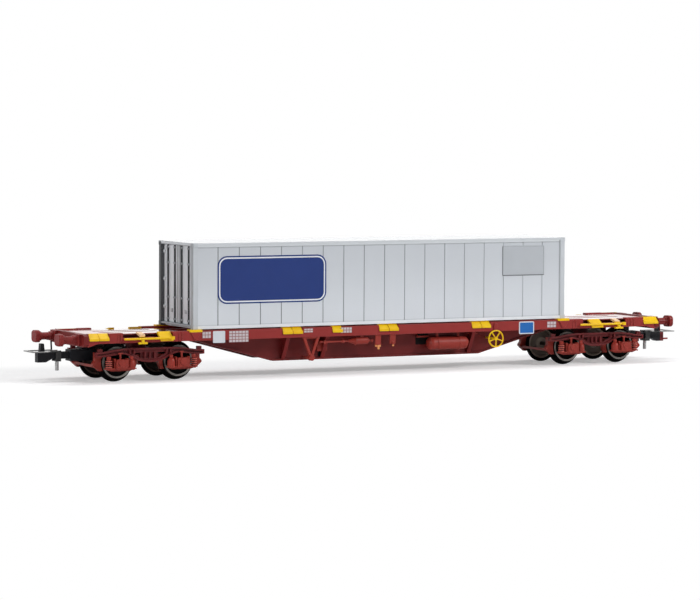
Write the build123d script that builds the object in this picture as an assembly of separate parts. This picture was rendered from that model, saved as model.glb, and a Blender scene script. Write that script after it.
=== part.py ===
from build123d import *
import math
import os

# Model container wagon at 1:87 with a forty foot box container, sizes in millimetres
# X runs along the wagon, -Y is the side with the brake gear, the wheel flanges stand on Z = 0

# Track and wheels
back_to_back = 14.3
wheel_width = 2.7
tread_radius = 5.25
flange_height = 1.05
flange_width = 0.8
axle_radius = 0.75
journal_radius = 0.5
journal_end = 12.3
running_clearance = 0.05
turning_gap = 0.3

# Wagon frame
pivot_distance = 168.0
bogie_wheelbase = 21.4
headstock_face = 107.9
headstock_thickness = 1.6
headstock_proud = 0.3
headstock_drop = 0.1
frame_half_width = 14.3
sill_top = 16.0
sill_depth = 3.2
sill_flange = 2.2
plate = 0.5
web = 0.7
sill_end_drop = 1.0
sill_end_run = 3.3
beam_offset = 7.5
beam_flange = 2.2
beam_low = 4.9
beam_high = 13.7
belly_half = 38.8
belly_slope_run = 32.9
deck_thickness = 0.3
deck_drop = 0.4
deck_start = 72.0
deck_slot_start = -6.0
deck_slot_end = 14.0
deck_slot_inner = 2.0
deck_slot_outer = 4.2

# Buffers
buffer_spacing = 20.1
buffer_height = 14.05
buffer_length = 7.5
buffer_head_width = 4.5
buffer_head_height = 3.9
buffer_head_corner = 1.3
buffer_head_thickness = 1.2
buffer_dome = 0.3
buffer_sleeve_radius = 1.2
buffer_foot_half = 2.2
buffer_foot_thickness = 0.9
buffer_foot_height = 3.7
buffer_gusset_run = 3.4

# Couplers
coupler_pivot = 100.3
coupler_neck = 3.5
coupler_neck_half = 1.6
coupler_block_half = 1.8
coupler_block_run = 1.5
coupler_case_run = 1.4
coupler_pin_radius = 0.8
coupler_pin_inset = 0.4
hook_half = 1.25
post_half = 0.9
coupler_box_front = 107.6
coupler_box_half = 2.2
coupler_low = 6.6
coupler_top = 10.25
shank_low = 7.4
shank_top = 9.6
shank_half = 1.2
loop_pivot = 111.4
loop_pivot_height = 8.5
loop_tip = 121.2
loop_half = 4.0
loop_strip = 0.9
loop_wire = 0.35
loop_rear = 0.5
loop_rear_strip = 1.0
loop_axle_radius = 0.3
loop_ear_gap = 0.2
loop_ear = 0.4
loop_ear_drop = 0.8
loop_ear_back = 0.8
loop_ear_front = 1.0
loop_pin_radius = 0.6
loop_height = 9.75
loop_pin_low = 3.6
post_top = 12.4
post_start = 2.2
post_lean = 0.3
hook_run = 2.2
hook_gap = 2.8
hook_low = 6.4
hook_toe = 2.0

# Bogies
bogie_side = 10.9
bogie_flange = 1.4
side_end = 8.2
bolster_half = 3.0
bolster_low = 7.4
bolster_top = 10.4
pivot_plate_top = 11.55
pivot_plate_radius = 3.2
pivot_plate_thickness = 1.6
frame_bolster_half = 2.6
frame_bolster_lap = 0.2
bolster_arm_half = 1.0
pivot_pin_radius = 0.9
pivot_pin_low = 9.0
brake_beam_low = 4.85
brake_beam_top = 5.65
box_face = 14.2

# Container
container_length = 139.8
container_width = 27.5
container_height = 27.8
container_floor = 16.4
panel = 0.8
seam_pitch = 7.61
seam_count = 17
seam_width = 0.3
seam_depth = 0.12
rail_height = 1.0
top_rail_height = 0.55
rail_proud = 0.15
post_width = 1.7
casting_height = 1.35
casting_proud = 0.1
end_sill_lift = 0.6
end_sill_height = 0.55
header_height = 0.2
door_gap = 0.16
door_recess = 1.2

# Spigots that hold the container
spigot_inset = 1.0
spigot_radius = 0.5
spigot_gap = 0.1
spigot_length = 0.7
spigot_hole = 1.0

# Values worked out from the sizes above
wheel_inner = back_to_back / 2
wheel_outer = wheel_inner + wheel_width
flange_radius = tread_radius + flange_height
axle_height = flange_radius
sill_bottom = sill_top - sill_depth
sill_inner = frame_half_width - sill_flange
deck_top = sill_top - deck_drop
beam_top = deck_top - deck_thickness
pivot_x = pivot_distance / 2
axle_x = bogie_wheelbase / 2
headstock_back = headstock_face - headstock_thickness
belly_end = belly_half + belly_slope_run
container_top = container_floor + container_height
half_length = container_length / 2 - casting_proud
half_width = container_width / 2 - casting_proud
spigot_x = half_length - spigot_inset
spigot_y = half_width - spigot_inset
ends = (("left", -1), ("right", 1))
sides = (("near", -1), ("far", 1))


def box(x0, x1, y0, y1, z0, z1):
    """Block between two corners given in any order"""
    size = (abs(x1 - x0), abs(y1 - y0), abs(z1 - z0))
    return Pos((x0 + x1) / 2, (y0 + y1) / 2, (z0 + z1) / 2) * Box(*size)


def prism_x(points, x0, x1):
    """Outline of (y, z) points carried along X"""
    low, high = min(x0, x1), max(x0, x1)
    face = make_face(Polyline(*[(low, y, z) for y, z in points], close=True))
    return extrude(face, amount=high - low, dir=(1, 0, 0))


def prism_y(points, y0, y1):
    """Outline of (x, z) points carried along Y"""
    low, high = min(y0, y1), max(y0, y1)
    face = make_face(Polyline(*[(x, low, z) for x, z in points], close=True))
    return extrude(face, amount=high - low, dir=(0, 1, 0))


def rod(start, end, radius):
    """Round bar between two points"""
    a, b = Vector(*start), Vector(*end)
    length = (b - a).length
    flat = (Align.CENTER, Align.CENTER, Align.MIN)
    return Plane(origin=a, z_dir=b - a) * Cylinder(radius, length, align=flat)


def turned_y(profile, x, z):
    """Outline of (radius, y) points turned about an axle along Y"""
    face = make_face(Polyline(*[(x + r, y, z) for r, y in profile], close=True))
    return revolve(face, axis=Axis((x, 0, z), (0, 1, 0)))


def turned_x(profile, y, z):
    """Outline of (x, radius) points turned about an axis along X"""
    face = make_face(Polyline(*[(x, y, z + r) for x, r in profile], close=True))
    return revolve(face, axis=Axis((0, y, z), (1, 0, 0)))


def turned_z(profile, x, y):
    """Outline of (radius, z) points turned about an upright axis"""
    face = make_face(Polyline(*[(x + r, y, z) for r, z in profile], close=True))
    return revolve(face, axis=Axis((x, y, 0), (0, 0, 1)))


def flip_y(shape):
    return mirror(shape, about=Plane.XZ)


def flip_x(shape):
    return mirror(shape, about=Plane.YZ)


def joined(shapes):
    """Fuse pieces that belong to one moulding"""
    return shapes[0] + list(shapes[1:])


def together(shapes):
    """Keep pieces apart in one node"""
    solids = []
    for shape in shapes:
        solids.extend(shape.solids())
    return Compound(solids)


# Spigot flaps that lie sloping over the sill's outer edge
# columns: centre x, plate width, inner edge in from the sill's face, outer edge out from it, highest z above the sill, lowest z
flap_thickness = 0.5
flap_gap = 0.35
flap_rows = (
    (-104.4, 3.3, 1.9, 0.45, 0.0, 13.9),
    (-100.95, 3.3, 1.9, 0.45, 0.0, 13.9),
    (-87.8, 1.8, 3.2, 0.1, 0.0, 14.9),
    (-79.3, 4.4, 3.0, 0.45, 0.0, 13.3),
    (-36.1, 3.4, 1.9, 0.45, 0.3, 14.25),
    (-32.4, 3.4, 1.9, 0.45, 0.3, 14.25),
    (-17.8, 3.6, 1.9, 0.45, 0.3, 14.3),
    (-0.5, 3.4, 1.9, 0.45, 0.3, 14.25),
    (3.2, 3.4, 1.9, 0.45, 0.3, 14.25),
    (34.9, 3.4, 1.9, 0.45, 0.3, 14.25),
    (38.6, 3.4, 1.9, 0.45, 0.3, 14.25),
    (82.7, 4.5, 2.9, 0.45, -0.35, 13.1),
    (91.0, 1.9, 3.2, 0.1, -0.35, 14.5),
    (104.6, 5.8, 1.9, 0.45, 0.0, 13.8),
)
flap_bays = ((-94.5, -77.0), (77.0, 94.5))
bay_low = 14.4
bay_inset = 3.3


def flap_under(row):
    """The flap's underside from its inner edge to its outer edge, as (y, z) at the far side"""
    x, width, inset, overhang, rise, low = row
    inner, outer, high = frame_half_width - inset, frame_half_width + overhang, sill_top + rise
    slope = (high - low) / (outer - inner)
    drop = flap_thickness * math.hypot(1, slope)
    return (inner, high - drop), (outer, low - drop + flap_thickness * slope)


def flap(row):
    x, width, inset, overhang, rise, low = row
    high = sill_top + rise
    (inner, z0), (outer, z1) = flap_under(row)
    section = [(inner, z0), (outer, z1), (outer, low + flap_thickness), (inner + flap_thickness, high), (inner, high)]
    return prism_x(section, x - width / 2, x + width / 2)


def flap_pocket(row):
    """What the sill loses under a flap"""
    x, width, inset, overhang, rise, low = row
    (y0, z0), (y1, z1) = flap_under(row)
    slope = (z1 - z0) / (y1 - y0)
    reach = frame_half_width + 1
    section = [(y0, z0), (reach, z0 + slope * (reach - y0)), (reach, sill_top + 1), (y0, sill_top + 1)]
    side = (width + flap_gap) / 2
    return prism_x(section, x - side, x + side)


# Thin upright ribs on the sills' faces, as x places, and the brackets below the container's seats
rib_places = (-96.1, -95.1, -74.9, -73.8, 73.1, 74.3, 95.4, 96.4, 97.7)
rib_width = 0.3
rib_proud = 0.2
rib_low = 13.2
rib_high = 15.6
seat_inner = 1.9
seat_outer = 2.5
seat_proud = 0.4
seat_lip_low = 15.6
seat_bracket_low = 13.3
seat_bracket_inset = 0.4
seat_bracket_foot = 0.5


# Outer sills: a channel that opens inwards, deeper at its ends
def sill():
    out, inn, top, low = frame_half_width, sill_inner, sill_top, sill_bottom
    section = [
        (out, low), (out, top), (inn, top), (inn, top - plate),
        (out - web, top - plate), (out - web, low + plate), (inn, low + plate), (inn, low),
    ]
    beam = prism_x(section, -headstock_back, headstock_back)
    drops = []
    for name, e in ends:
        foot = [(e * headstock_back, low), (e * headstock_back, low - sill_end_drop), (e * (headstock_back - sill_end_run), low)]
        drops.append(prism_y(foot, out - web, out))
    ribs = [box(x - rib_width / 2, x + rib_width / 2, out, out + rib_proud, rib_low, rib_high) for x in rib_places]
    brackets = []
    for name, e in ends:
        start, end = spigot_x - seat_inner + seat_bracket_inset, spigot_x + seat_outer - seat_bracket_inset
        foot = (start + end) / 2
        outline = [(e * start, seat_lip_low), (e * end, seat_lip_low), (e * (foot + seat_bracket_foot), seat_bracket_low),
                   (e * (foot - seat_bracket_foot), seat_bracket_low)]
        brackets.append(prism_y(outline, out, out + seat_proud))
    beam = joined([beam] + drops + ribs + brackets)
    pockets = [flap_pocket(row) for row in flap_rows]
    bays = [box(x0, x1, inn - 1, out + 1, bay_low, top + 1) for x0, x1 in flap_bays]
    return beam - pockets - bays


# Main beams with their fish belly
def belly_line(lift):
    return [
        (-headstock_back, beam_high + lift), (-belly_end, beam_high + lift), (-belly_half, beam_low + lift),
        (belly_half, beam_low + lift), (belly_end, beam_high + lift), (headstock_back, beam_high + lift),
    ]


def main_beam():
    inner, outer = beam_offset - web / 2, beam_offset + web / 2
    profile = belly_line(0) + [(headstock_back, beam_top), (-headstock_back, beam_top)]
    sheet = prism_y(profile, inner, outer)
    wide = (beam_offset - beam_flange / 2, beam_offset + beam_flange / 2)
    top = box(-headstock_back, headstock_back, *wide, beam_top - plate, beam_top)
    low = prism_y(belly_line(0) + list(reversed(belly_line(plate))), *wide)
    return joined([sheet, top, low])


# Cross members between the sills
# columns: x, the sides where it has the deep gusset outside the main beam
cross_rows = (
    (-71.0, ()), (-52.5, ()), (-35.0, (-1, 1)), (-20.6, (-1, 1)), (0.0, ()),
    (20.6, (1,)), (35.0, (-1, 1)), (52.5, ()), (71.0, ()),
)
cross_low = 13.4
gusset_strip = 0.35
gusset_strip_width = 1.3


def cross_member(x, deep_sides):
    out = frame_half_width - web
    half = plate / 2
    bar = box(x - half, x + half, -out, out, cross_low, beam_top)
    if not deep_sides:
        return bar
    pieces = [bar]
    foot_y, foot_z = beam_offset + beam_flange / 2, beam_low + plate
    head_y, head_z = sill_inner + 0.9, sill_bottom + plate
    outline = [(beam_offset, foot_z), (foot_y, foot_z), (head_y, head_z), (head_y, cross_low + plate), (beam_offset, cross_low + plate)]
    strip = [(foot_y, foot_z), (head_y, head_z), (head_y, head_z + gusset_strip), (foot_y - gusset_strip, foot_z)]
    for s in deep_sides:
        pieces.append(prism_x([(s * y, z) for y, z in outline], x - half, x + half))
        pieces.append(prism_x([(s * y, z) for y, z in strip], x - gusset_strip_width / 2, x + gusset_strip_width / 2))
    return joined(pieces)


# Headstock at one end, with the pockets of the flaps that reach it
def headstock(e):
    top, low = sill_top - headstock_drop, sill_bottom - sill_end_drop
    edge = frame_half_width + headstock_proud
    outline = [
        (-edge, top - 0.6), (-edge + 1.5, top), (edge - 1.5, top), (edge, top - 0.6),
        (edge, low + 0.8), (edge - 1.2, low), (-edge + 1.2, low), (-edge, low + 0.8),
    ]
    beam = prism_x(outline, e * headstock_back, e * headstock_face)
    pockets = [flap_pocket(row) for row in flap_rows if e * row[0] + (row[1] + flap_gap) / 2 > headstock_back]
    return beam - pockets - [flip_y(pocket) for pocket in pockets]


def buffer(y):
    """Sleeve with its collar, a squared head with a domed face, and a foot with a gusset below"""
    base, face = headstock_face, headstock_face + buffer_length
    sleeve = buffer_sleeve_radius
    head_back = face - buffer_dome - buffer_head_thickness
    profile = [
        (base, 0), (base, sleeve * 1.2), (base + 2.2, sleeve * 1.2), (base + 2.4, sleeve), (head_back - 0.9, sleeve),
        (head_back - 0.9, sleeve * 1.25), (head_back - 0.4, sleeve * 1.25), (head_back - 0.4, sleeve),
        (head_back - 0.2, sleeve), (head_back + 0.1, sleeve * 1.4), (head_back + 0.1, 0),
    ]
    turned = turned_x(profile, y, buffer_height)
    outline = Plane(origin=(head_back, y, buffer_height), x_dir=(0, 1, 0), z_dir=(1, 0, 0)) * RectangleRounded(
        buffer_head_width, buffer_head_height, buffer_head_corner)
    head = extrude(outline, amount=buffer_head_thickness, dir=(1, 0, 0))
    dome = extrude(Pos(buffer_head_thickness, 0, 0) * outline, amount=buffer_dome, dir=(1, 0, 0), taper=40)
    half = buffer_foot_height / 2
    foot = box(base, base + buffer_foot_thickness, y - buffer_foot_half, y + buffer_foot_half, buffer_height - half, buffer_height + half)
    gusset = prism_y([(base, buffer_height - half), (base, buffer_height), (base + buffer_gusset_run, buffer_height),
                      (base + buffer_gusset_run, buffer_height - sleeve)], y - plate / 2, y + plate / 2)
    return joined([turned, head, dome, foot, gusset])


# Deck plate over the bogie, drawn at the right end
def end_deck():
    sheet = box(deck_start, headstock_back, -sill_inner, sill_inner, beam_top, deck_top)
    slot = box(pivot_x + deck_slot_start, pivot_x + deck_slot_end, -deck_slot_outer, -deck_slot_inner, beam_top - 1, sill_top + 1)
    bays = [box(x0, x1, -sill_inner - 1, bay_inset - frame_half_width, beam_top - 1, sill_top + 1) for x0, x1 in flap_bays[1:]]
    cut = [slot, flip_y(slot)] + bays + [flip_y(b) for b in bays]
    return sheet - cut


# Frame bolster with the pin that the bogie turns on, drawn at the right end
def frame_bolster():
    inner, outer = beam_offset - web / 2, beam_offset + web / 2
    x0, x1 = pivot_x - frame_bolster_half, pivot_x + frame_bolster_half
    low = pivot_plate_top + running_clearance
    high = low + pivot_plate_thickness
    middle = box(x0, x1, -inner, inner, high - frame_bolster_lap, beam_top)
    centre = turned_z([(0, pivot_pin_low), (pivot_pin_radius, pivot_pin_low), (pivot_pin_radius, low),
                       (pivot_plate_radius, low), (pivot_plate_radius, high), (0, high)], pivot_x, 0)
    flange = beam_offset - beam_flange / 2
    body = joined([middle, centre])
    arm = box(pivot_x - bolster_arm_half, pivot_x + bolster_arm_half, outer, frame_half_width - web, beam_high + plate, bay_low)
    arm = arm - [flap_pocket(row) for row in flap_rows if row[0] > deck_start]
    trim = [box(x0, x1, flange, inner, beam_top - plate, beam_top), box(x0, x1, flange, inner, beam_high, beam_high + plate)]
    body = body - trim - [flip_y(t) for t in trim]
    return together([body, arm, flip_y(arm)])


# Bracket that holds the coupler under the headstock, drawn at the right end
def coupler_bracket():
    back = coupler_pivot - coupler_block_run
    block = box(back, headstock_back, -coupler_block_half, coupler_block_half, cross_low, beam_top)
    neck = box(back, coupler_pivot + coupler_neck, -coupler_neck_half, coupler_neck_half, coupler_top + turning_gap / 2, cross_low)
    pin = rod((coupler_pivot, 0, coupler_low + coupler_pin_inset), (coupler_pivot, 0, cross_low), coupler_pin_radius)
    return joined([block, neck, pin])


# Coupler that swings on the bracket's pin, drawn at the right end
def coupler():
    case = box(coupler_pivot - coupler_case_run, coupler_box_front, -coupler_box_half, coupler_box_half, coupler_low, coupler_top)
    hook_back, hook_front = loop_pivot + hook_run, loop_tip - hook_gap
    shank = box(coupler_box_front, hook_back, -shank_half, shank_half, shank_low, shank_top)
    hook = prism_y([(hook_back, shank_top + 0.1), (hook_front, shank_top + 0.1), (hook_front, hook_low),
                    (hook_back + hook_toe, hook_low), (hook_back, shank_low)], -hook_half, hook_half)
    post = prism_y([(hook_back + post_start, shank_top), (hook_front - 1.0, shank_top), (hook_front - 1.2, post_top),
                    (hook_back + post_start + post_lean, post_top)], -post_half, post_half)
    body = joined([case, shank, hook, post])
    bore = rod((coupler_pivot, 0, coupler_low - 1), (coupler_pivot, 0, coupler_top + 1), coupler_pin_radius + running_clearance)
    side = coupler_box_half
    eye = rod((loop_pivot, -side, loop_pivot_height), (loop_pivot, side, loop_pivot_height), loop_axle_radius + running_clearance)
    return body - [bore, eye]


# Lifting loop with its tail pin, drawn at the right end
def coupler_loop():
    rear, high = loop_pivot + loop_rear, loop_height + loop_wire
    inner = loop_half - loop_strip
    ring = box(rear, loop_tip, -loop_half, loop_half, loop_height, high)
    hole = box(rear + loop_rear_strip, loop_tip - loop_strip, -inner, inner, loop_height, high)
    ear_in, ear_out = shank_half + loop_ear_gap, shank_half + loop_ear_gap + loop_ear
    low = shank_low - loop_ear_drop
    pieces = [ring - hole]
    for s in (-1, 1):
        pieces.append(box(loop_pivot - loop_ear_back, loop_pivot + loop_ear_front, s * ear_in, s * ear_out, low, high))
    pieces.append(rod((loop_pivot, -ear_out, loop_pivot_height), (loop_pivot, ear_out, loop_pivot_height), loop_axle_radius))
    pieces.append(box(loop_pivot - 0.7, loop_pivot + 0.7, -ear_out, ear_out, low, low + loop_wire))
    pieces.append(rod((loop_pivot, 0, loop_pin_low), (loop_pivot, 0, low), loop_pin_radius))
    return joined(pieces)


# Hand levers for the load change and the brake, on the near side
# columns: inner x, outer x, x of the hanger
lever_rows = ((-94.3, -77.0, -87.8), (75.6, 93.6, 91.3))
lever_height = 14.05
lever_radius = 0.35
lever_stand_off = 0.85
lever_out = frame_half_width + lever_stand_off
knob_length = 1.2
knob_half = 0.5
hanger_half = 0.45
hanger_drop = 1.4
lever_foot_half = 1.5
lever_foot_height = 0.6


def hand_lever(x0, x1, hanger):
    y = -lever_out
    face = -frame_half_width
    bar = rod((x0, y, lever_height), (x1, y, lever_height), lever_radius)
    knob = box(x1 - knob_length, x1, y - knob_half, y + lever_radius, lever_height - knob_half, lever_height + knob_half)
    low = lever_height - hanger_drop
    stem = box(hanger - hanger_half, hanger + hanger_half, y, face, low, lever_height)
    foot = box(hanger - lever_foot_half, hanger + lever_foot_half, y - 0.1, face, low - lever_foot_height / 2, low + lever_foot_height / 2)
    return joined([bar, knob, stem, foot])


# Handwheel of the parking brake
handwheel_x = 42.3
handwheel_height = 10.25
handwheel_radius = 2.75
handwheel_rim = 0.25
spoke_count = 5


def handwheel():
    y = -frame_half_width - 0.3
    centre = (handwheel_x, y, handwheel_height)
    ring = Plane(origin=centre, z_dir=(0, 1, 0)) * Torus(handwheel_radius, handwheel_rim)
    pieces = [ring, rod((handwheel_x, y - 0.4, handwheel_height), (handwheel_x, y + 0.4, handwheel_height), 0.6)]
    for i in range(spoke_count):
        angle = math.radians(i * 360 / spoke_count - 90)
        tip = (handwheel_x + handwheel_radius * math.cos(angle), y, handwheel_height + handwheel_radius * math.sin(angle))
        pieces.append(rod(centre, tip, 0.22))
    pieces.append(rod((handwheel_x, y, handwheel_height), (handwheel_x, -beam_offset - web / 2, handwheel_height), 0.35))
    return joined(pieces)


# V bracket that carries the brake shaft
bracket_x = -27.2
bracket_hub = 5.9
bracket_half = 2.6
bracket_inset = 0.4
leg_half = 0.45
hub_radius = 0.95
shaft_radius = 0.3


def brake_bracket():
    y0, y1 = bracket_inset - frame_half_width, bracket_inset + web - frame_half_width
    legs = []
    for s in (-1, 1):
        top = bracket_x + s * bracket_half
        leg = [(top - leg_half, sill_bottom), (top + leg_half, sill_bottom),
               (bracket_x + leg_half, bracket_hub), (bracket_x - leg_half, bracket_hub)]
        legs.append(prism_y(leg, y0, y1))
    bar_half = bracket_half + leg_half
    bar = box(bracket_x - bar_half, bracket_x + bar_half, y0, y1, sill_bottom - plate, sill_bottom)
    hub = rod((bracket_x, y0 - plate, bracket_hub), (bracket_x, y1 + plate, bracket_hub), hub_radius)
    shaft = rod((bracket_x, y0, bracket_hub), (bracket_x, -beam_offset - web / 2, bracket_hub), shaft_radius)
    return joined(legs + [bar, hub, shaft])


# Brake cylinder with its push rod, and the hangers that hold both
cylinder_y = 1.7 - frame_half_width
cylinder_height = 10.9
cylinder_hanger = (-8.6, -7.4)
rod_guide = (-22.2, -21.4)
cylinder_profile = (
    (-23.6, 0.0), (-23.6, 0.3), (-15.6, 0.3), (-15.4, 0.55), (-14.6, 0.55), (-14.4, 0.3), (-13.0, 0.3),
    (-12.8, 0.5), (-10.5, 1.2), (-10.5, 1.4), (-10.2, 1.4), (-10.2, 1.25), (-5.9, 1.25), (-5.7, 1.0),
    (-5.7, 0.35), (-4.6, 0.35), (-4.6, 0.6), (-3.9, 0.6), (-3.9, 0.0),
)


def brake_cylinder():
    turned = turned_x(cylinder_profile, cylinder_y, cylinder_height)
    hanger = box(*cylinder_hanger, cylinder_y - 0.4, cylinder_y + 0.4, cylinder_height, sill_bottom)
    guide = box(*rod_guide, cylinder_y - 0.5, -beam_offset - web / 2, cylinder_height - 0.5, cylinder_height + 0.5)
    return joined([turned, hanger, guide])


# Air tank with its two straps
tank_height = 9.1
tank_radius = 2.2
tank_gap = 0.2
tank_y = -(beam_offset + beam_flange / 2 + tank_gap + tank_radius)
tank_start = 17.7
tank_end = 33.2
strap_inset = 3.7
strap_half = 0.35
strap_thickness = 0.15
strap_arm_half = 0.4
tank_dome = 1.6


def air_tank():
    rise = [(0, 0), (tank_dome * 0.15, tank_radius * 0.6), (tank_dome / 2, tank_radius * 0.9), (tank_dome, tank_radius)]
    profile = [(tank_start + x, r) for x, r in rise] + [(tank_end - x, r) for x, r in reversed(rise)]
    pieces = [turned_x(profile, tank_y, tank_height)]
    for x in (tank_start + strap_inset, tank_end - strap_inset):
        x0, x1 = x - strap_half, x + strap_half
        arm = tank_y - strap_arm_half
        pieces.append(rod((x0, tank_y, tank_height), (x1, tank_y, tank_height), tank_radius + strap_thickness))
        pieces.append(box(x0, x1, arm, tank_y + strap_arm_half, tank_height, cross_low))
        pieces.append(box(x0, x1, arm, -beam_offset - web / 2, cross_low - plate, cross_low))
    return joined(pieces)


# Small valve handles under the sill
# columns: x, lowest z
valve_rows = ((-2.4, 8.0), (3.1, 8.9))


def valve_hanger(x, low):
    y = -frame_half_width + 0.4
    return joined([
        box(x - 1.0, x + 1.0, y, y + 0.5, low + 0.8, sill_bottom),
        rod((x, y - 0.1, low + 1.2), (x, y + 0.6, low + 1.2), 0.6),
        box(x - 0.3, x + 0.3, y - 0.4, y, low, low + 1.6),
    ])


# Wheels and axles
def wheels(x):
    hub, rim = 1.7, tread_radius - 0.9
    profile = [
        (axle_radius, wheel_inner), (hub + 0.2, wheel_inner), (hub + 0.5, wheel_inner + 0.5), (rim, wheel_inner + 0.5),
        (rim + 0.2, wheel_inner), (flange_radius - 0.2, wheel_inner), (flange_radius, wheel_inner + 0.25),
        (flange_radius - 0.15, wheel_inner + 0.55), (tread_radius, wheel_inner + flange_width), (tread_radius - 0.08, wheel_outer - 0.1),
        (tread_radius - 0.18, wheel_outer), (rim + 0.1, wheel_outer), (rim, wheel_outer - 0.9), (hub + 0.1, wheel_outer - 0.8),
        (hub, wheel_outer - 0.1), (axle_radius, wheel_outer - 0.1),
    ]
    one = turned_y(profile, x, axle_height)
    return together([one, flip_y(one)])


def axle(x):
    profile = [
        (0, -journal_end), (journal_radius, -journal_end), (journal_radius, -bogie_side + 0.3), (axle_radius, -bogie_side + 0.5),
        (axle_radius, bogie_side - 0.5), (journal_radius, bogie_side - 0.3), (journal_radius, journal_end), (0, journal_end),
    ]
    return turned_y(profile, x, axle_height)


# Bogie pieces, drawn about the pivot and moved to it afterwards
# columns: distance beyond the axle, height
side_top_rows = ((side_end, 9.85), (5.4, 9.95), (3.6, 10.25), (0.5, 10.7), (-3.0, 10.9))
side_low_rows = ((side_end, 8.45), (4.0, 8.5), (0.8, 8.9), (-1.6, 9.0), (-3.4, 8.45), (-6.3, 7.0))
side_top_middle = 10.9
side_low_middle = 6.3
window_low = 7.6
window_top = 9.4
window_half = 6.2
rib_pitch = 1.7
rib_half = 0.2
upright_places = (5.7, 7.1)
lug_inner = 5.8
lug_outer = 7.4


def side_line(rows, middle, lift=0.0):
    """Points of a side frame's edge from its left end to its right end"""
    right = [(axle_x + reach, z + lift) for reach, z in reversed(rows)]
    return [(-x, z) for x, z in reversed(right)] + [(0.0, middle + lift)] + right


def between_lines(low, high, y0, y1):
    """Solid between two curved lines of (x, z) points"""
    lower = Spline(*[(x, y0, z) for x, z in low])
    upper = Spline(*[(x, y0, z) for x, z in high])
    face = make_face([lower, Line(lower @ 1, upper @ 1), upper, Line(upper @ 0, lower @ 0)])
    return extrude(face, amount=y1 - y0, dir=(0, 1, 0))


def bogie_side_frame():
    inner, outer = bogie_side, bogie_side + plate
    edge = bogie_side + bogie_flange
    low, top = side_line(side_low_rows, side_low_middle), side_line(side_top_rows, side_top_middle)
    sheet = between_lines(low, top, inner, outer)
    shoulder = window_half / 2
    window = prism_y([(-window_half, window_top), (window_half, window_top), (window_half - 1.2, window_top - 0.7),
                      (shoulder, window_low), (-shoulder, window_low), (1.2 - window_half, window_top - 0.7)], inner - 1, outer + 1)
    pieces = [
        sheet - window,
        between_lines(side_line(side_top_rows, side_top_middle, -plate), top, inner, edge),
        between_lines(low, side_line(side_low_rows, side_low_middle, plate), inner, edge),
    ]
    for i in (-1, 0, 1):
        pieces.append(box(i * rib_pitch - rib_half, i * rib_pitch + rib_half, inner, outer + 0.3, window_low - 0.2, window_top + 0.2))
    end_low, end_top = side_low_rows[0][1], side_top_rows[0][1]
    for s in (-1, 1):
        tip = s * (axle_x + side_end)
        pieces.append(box(tip - s * plate, tip, inner, edge, end_low, end_top))
        pieces.append(box(s * (axle_x + lug_inner), s * (axle_x + lug_outer), inner, inner + 0.9, end_top - 0.2, side_top_middle))
        for x in upright_places:
            pieces.append(box(s * (x - rib_half), s * (x + rib_half), inner, edge, window_top - 0.3, side_top_middle - plate / 2))
    return joined(pieces)


# Axle box on its ledge, with the coil spring on one side and the damper cap on the other, drawn at the far side
spring_offset = 4.05
spring_radius = 1.05
spring_core = 0.5
spring_neck = 0.7
spring_high = 7.3
spring_turns = 4
spring_seat_top = side_low_rows[0][1]
cap_offset = 3.75
cap_radius = 1.25
box_half = 1.9
box_low = 4.4
box_top = 7.5
box_back_gap = 0.1
guide_gap = 0.15
guide_width = 0.4
guide_rise = 0.3
ledge_low = 4.35
ledge_top = 4.75
ledge_half = 5.1
trough_low = 3.75
trough_half = 3.2
trough_face = 12.9


def spring(x, y):
    pitch = (spring_high - ledge_top) / spring_turns
    profile = [(0, ledge_top)]
    for i in range(spring_turns):
        z = ledge_top + i * pitch
        profile += [(spring_core, z), (spring_radius, z + pitch * 0.3), (spring_radius, z + pitch * 0.7)]
    profile += [(spring_core, spring_high), (spring_neck, spring_high), (spring_neck, spring_seat_top), (0, spring_seat_top)]
    return turned_z(profile, x, y)


def damper_cap(x, y):
    radius, top = cap_radius, box_top
    profile = [(0, ledge_top), (radius, ledge_top), (radius, top - 1.0), (radius * 0.8, top - 0.35), (radius * 0.45, top), (0, top)]
    return joined([turned_z(profile, x, y), rod((x, y, top - 0.3), (x, y, spring_seat_top), radius * 0.45)])


def axle_box(x, out):
    """Box at x with its coils on the out side, which is -1 or 1"""
    y0, y1 = bogie_side + plate + box_back_gap, box_face
    middle = (y0 + y1) / 2
    half = box_half
    body = prism_y([(x - half, box_low), (x + half, box_low), (x + half, box_top - 0.4), (x + half - 0.4, box_top),
                    (x - half + 0.4, box_top), (x - half, box_top - 0.4)], y0, y1)
    ledge = box(x - ledge_half, x + ledge_half, y0, middle + spring_radius, ledge_low, ledge_top)
    trough = prism_y([(x - trough_half, trough_low), (x + trough_half, trough_low), (x + ledge_half, ledge_low),
                      (x - ledge_half, ledge_low)], y0, trough_face)
    shield = box(x - half + 0.5, x + half - 0.5, y1, y1 + 0.15, box_low + 0.4, box_top - 0.4)
    cover = rod((x, y1, axle_height), (x, y1 + 0.4, axle_height), 1.1)
    link_y = bogie_side + bogie_flange + 0.05
    link = box(x - 0.25, x + 0.25, link_y, link_y + 0.5, box_top - 0.2, box_top + 2.1)
    head = box(x - 0.7, x + 0.7, link_y, link_y + 0.5, box_top + 1.7, box_top + 2.1)
    pieces = [body, ledge, trough, shield, cover, link, head]
    for s in (-1, 1):
        start = half + guide_gap
        pieces.append(box(x + s * start, x + s * (start + guide_width), y0, y1 - 0.5, ledge_low, box_top + guide_rise))
    pieces.append(spring(x + out * spring_offset, middle))
    pieces.append(damper_cap(x - out * cap_offset, middle))
    bore = rod((x, y0 - 1, axle_height), (x, journal_end + 0.15, axle_height), journal_radius + running_clearance)
    return joined(pieces) - bore


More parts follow.
